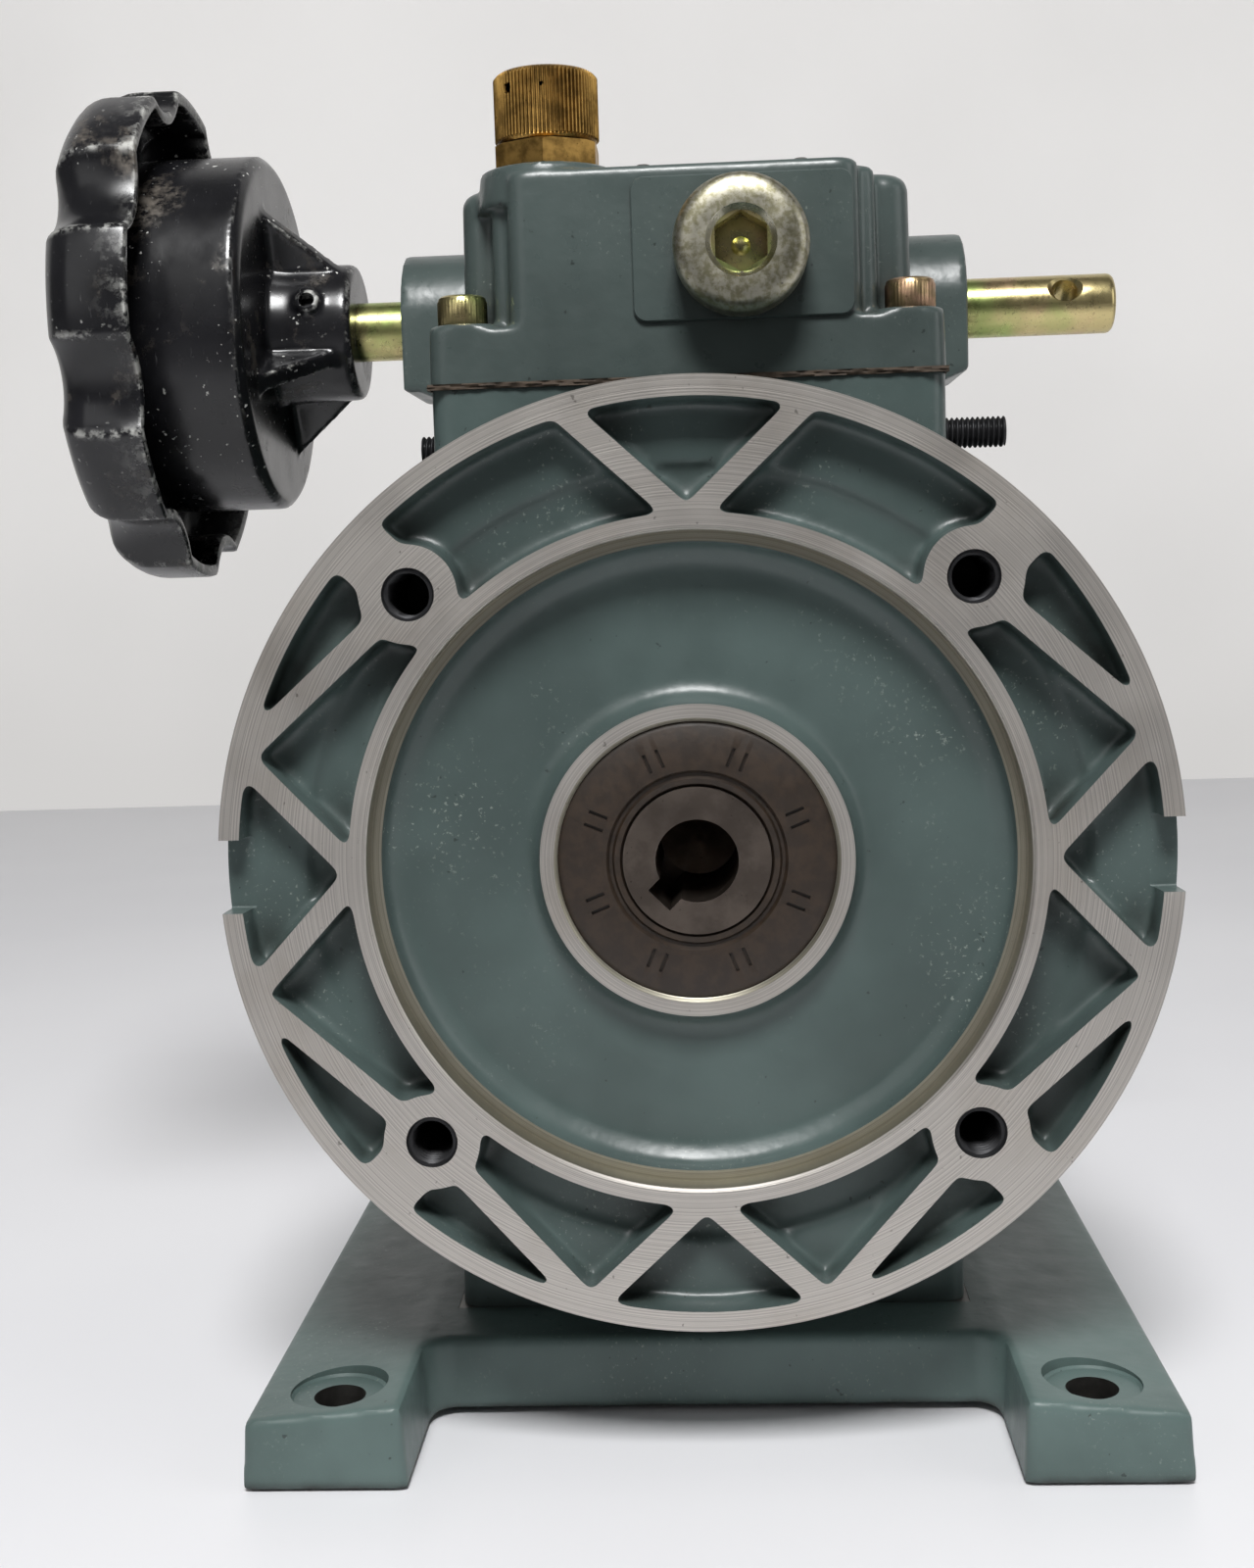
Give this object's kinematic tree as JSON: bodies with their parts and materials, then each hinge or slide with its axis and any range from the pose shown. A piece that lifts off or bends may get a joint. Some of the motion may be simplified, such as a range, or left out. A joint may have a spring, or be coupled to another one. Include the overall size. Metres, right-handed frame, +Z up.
{
  "type": "industrial gearbox",
  "caption": "Foot-mounted variable-speed friction gearbox with a round ribbed motor flange, control box on top, lobed handwheel on a cross spindle and a keyed output shaft.",
  "frame": {"origin": "on the floor, midway between the four foot holes", "axes": "+X right as seen from the motor side, +Y from the motor side to the output side, +Z up"},
  "size_m": [0.2083, 0.201, 0.2556],
  "materials": {
    "painted_casting": "semi-gloss grey-green machine enamel",
    "zinc": "yellow zinc plated",
    "black_steel": "black oxide",
    "steel": "ground",
    "iron": "hardened and ground, oiled",
    "brass": "dull, tarnished",
    "bronze": "plain bearing bronze",
    "copper": "annealed copper",
    "seal_rubber": "moulded, matt",
    "gasket": "fibre gasket with old sealant",
    "black_plastic": "glossy moulded, scuffed",
    "dial_white": "satin",
    "pointer_red": "satin",
    "clear": "clear",
    "aluminium": "satin blank plate"
  },
  "bodies": {
    "housing": {"base_foot": "painted_casting", "foot_screws": "zinc", "main_housing": "painted_casting", "input_flange": "painted_casting", "flange_screws": "zinc", "output_cover": "painted_casting", "output_cover_screws": "zinc", "control_cover": "painted_casting", "cover_gasket": "gasket", "cover_screws": "zinc", "oil_plugs": "zinc", "plug_washers": "copper", "breather_body": "brass", "breather_cap": "brass", "nameplate": "aluminium", "nameplate_pins": "steel", "stop_stud_left": "black_steel", "stop_stud_right": "black_steel", "sight_glass_ring": "steel", "sight_glass_window": "clear", "input_seal": "seal_rubber", "input_bearing_outer": "steel", "fixed_ring": "iron", "output_bearing_outer": "steel", "output_seal": "seal_rubber", "spindle_bushes": "bronze", "spindle_o_rings": "seal_rubber"},
    "input_rotor": {"input_shaft": "steel", "input_bearing_inner": "steel", "sun_disc_front": "iron", "disc_springs": "black_steel", "spring_nut": "steel"},
    "input_ball_set": {"input_bearing_balls": "steel"},
    "rear_sun": {"sun_disc_rear": "iron"},
    "output_rotor": {"output_shaft": "steel", "output_bearing_inner": "steel"},
    "output_ball_set": {"output_bearing_balls": "steel"},
    "pressing_ring": {"movable_ring": "iron"},
    "cam": {"cam_ring": "iron", "speed_peg": "steel"},
    "cam_ball_set": {"cam_balls": "steel"},
    "nut": {"speed_nut": "bronze"},
    "control_wheel": {"control_spindle": "zinc", "spindle_collars": "steel", "handwheel": "black_plastic", "handwheel_set_screw": "black_steel", "indicator_case": "black_plastic", "indicator_window": "clear"},
    "dial": {"indicator_dial": "dial_white"},
    "pointer": {"indicator_pointer": "pointer_red"},
    "slider_1": {"planet_slider_1": "bronze"},
    "planet_1": {"planet_disc_1": "iron"},
    "slider_2": {"planet_slider_2": "bronze"},
    "planet_2": {"planet_disc_2": "iron"},
    "slider_3": {"planet_slider_3": "bronze"},
    "planet_3": {"planet_disc_3": "iron"},
    "slider_4": {"planet_slider_4": "bronze"},
    "planet_4": {"planet_disc_4": "iron"},
    "slider_5": {"planet_slider_5": "bronze"},
    "planet_5": {"planet_disc_5": "iron"}
  },
  "joints": [
    {"name": "input_spin", "type": "hinge", "parent": "housing", "child": "input_rotor", "pos_m": [0, -0.0705, 0.105], "axis": [0, 1, 0], "continuous": true},
    {"name": "input_ball_spin", "type": "hinge", "parent": "housing", "child": "input_ball_set", "pos_m": [0, -0.0705, 0.105], "axis": [0, 1, 0], "continuous": true},
    {"name": "rear_sun_slide", "type": "slide", "parent": "input_rotor", "child": "rear_sun", "axis": [0, 1, 0], "range_m": [-0.00033, 0.00033]},
    {"name": "output_spin", "type": "hinge", "parent": "housing", "child": "output_rotor", "pos_m": [0, -0.0705, 0.105], "axis": [0, 1, 0], "continuous": true},
    {"name": "output_ball_spin", "type": "hinge", "parent": "housing", "child": "output_ball_set", "pos_m": [0, -0.0705, 0.105], "axis": [0, 1, 0], "continuous": true},
    {"name": "control_turn", "type": "hinge", "parent": "housing", "child": "control_wheel", "pos_m": [0, 0.0245, 0.2056], "axis": [1, 0, 0], "range_deg": [-2250, 2250]},
    {"name": "nut_slide", "type": "slide", "parent": "housing", "child": "nut", "axis": [1, 0, 0], "range_m": [-0.0126, 0.0126]},
    {"name": "cam_turn", "type": "hinge", "parent": "housing", "child": "cam", "pos_m": [0, -0.0705, 0.105], "axis": [0, 1, 0], "range_deg": [-8.05, 8.05]},
    {"name": "cam_ball_turn", "type": "hinge", "parent": "housing", "child": "cam_ball_set", "pos_m": [0, -0.0705, 0.105], "axis": [0, 1, 0], "range_deg": [-4.05, 4.05]},
    {"name": "ring_slide", "type": "slide", "parent": "housing", "child": "pressing_ring", "axis": [0, 1, 0], "range_m": [-0.00033, 0.00033]},
    {"name": "dial_hang", "type": "hinge", "parent": "control_wheel", "child": "dial", "pos_m": [0, 0.0245, 0.2056], "axis": [1, 0, 0], "range_deg": [-2260, 2260]},
    {"name": "pointer_turn", "type": "hinge", "parent": "control_wheel", "child": "pointer", "pos_m": [0, 0.0245, 0.2056], "axis": [1, 0, 0], "range_deg": [-2250, 2250]},
    {"name": "slider_1_slide", "type": "slide", "parent": "output_rotor", "child": "slider_1", "axis": [0, 0, 1], "range_m": [-0.0041, 0.0041]},
    {"name": "planet_1_spin", "type": "hinge", "parent": "slider_1", "child": "planet_1", "pos_m": [0, 0.0045, 0.14], "axis": [0, 1, 0], "continuous": true},
    {"name": "slider_2_slide", "type": "slide", "parent": "output_rotor", "child": "slider_2", "axis": [-0.9511, 0, 0.309], "range_m": [-0.0041, 0.0041]},
    {"name": "planet_2_spin", "type": "hinge", "parent": "slider_2", "child": "planet_2", "pos_m": [-0.03329, 0.0045, 0.11582], "axis": [0, 1, 0], "continuous": true},
    {"name": "slider_3_slide", "type": "slide", "parent": "output_rotor", "child": "slider_3", "axis": [-0.5878, 0, -0.809], "range_m": [-0.0041, 0.0041]},
    {"name": "planet_3_spin", "type": "hinge", "parent": "slider_3", "child": "planet_3", "pos_m": [-0.02057, 0.0045, 0.07668], "axis": [0, 1, 0], "continuous": true},
    {"name": "slider_4_slide", "type": "slide", "parent": "output_rotor", "child": "slider_4", "axis": [0.5878, 0, -0.809], "range_m": [-0.0041, 0.0041]},
    {"name": "planet_4_spin", "type": "hinge", "parent": "slider_4", "child": "planet_4", "pos_m": [0.02057, 0.0045, 0.07668], "axis": [0, 1, 0], "continuous": true},
    {"name": "slider_5_slide", "type": "slide", "parent": "output_rotor", "child": "slider_5", "axis": [0.9511, 0, 0.309], "range_m": [-0.0041, 0.0041]},
    {"name": "planet_5_spin", "type": "hinge", "parent": "slider_5", "child": "planet_5", "pos_m": [0.03329, 0.0045, 0.11582], "axis": [0, 1, 0], "continuous": true}
  ],
  "couplings": [
    {"joint": "input_ball_spin", "follows": "input_spin", "ratio": 0.39167},
    {"joint": "output_spin", "follows": "input_spin", "ratio": 0.34286},
    {"joint": "output_ball_spin", "follows": "input_spin", "ratio": 0.13604},
    {"joint": "nut_slide", "follows": "control_turn", "m_per_rad": 0.00031831},
    {"joint": "cam_turn", "follows": "control_turn", "ratio": 0.0035556},
    {"joint": "cam_ball_turn", "follows": "control_turn", "ratio": 0.0017778},
    {"joint": "ring_slide", "follows": "control_turn", "m_per_rad": -0.0000081487},
    {"joint": "rear_sun_slide", "follows": "control_turn", "m_per_rad": 0.0000081487},
    {"joint": "dial_hang", "follows": "control_turn", "ratio": -1},
    {"joint": "pointer_turn", "follows": "control_turn", "ratio": -0.91667},
    {"joint": "slider_1_slide", "follows": "control_turn", "m_per_rad": -0.00010186},
    {"joint": "planet_1_spin", "follows": "input_spin", "ratio": -1.4338},
    {"joint": "slider_2_slide", "follows": "control_turn", "m_per_rad": -0.00010186},
    {"joint": "planet_2_spin", "follows": "input_spin", "ratio": -1.4338},
    {"joint": "slider_3_slide", "follows": "control_turn", "m_per_rad": -0.00010186},
    {"joint": "planet_3_spin", "follows": "input_spin", "ratio": -1.4338},
    {"joint": "slider_4_slide", "follows": "control_turn", "m_per_rad": -0.00010186},
    {"joint": "planet_4_spin", "follows": "input_spin", "ratio": -1.4338},
    {"joint": "slider_5_slide", "follows": "control_turn", "m_per_rad": -0.00010186},
    {"joint": "planet_5_spin", "follows": "input_spin", "ratio": -1.4338}
  ]
}
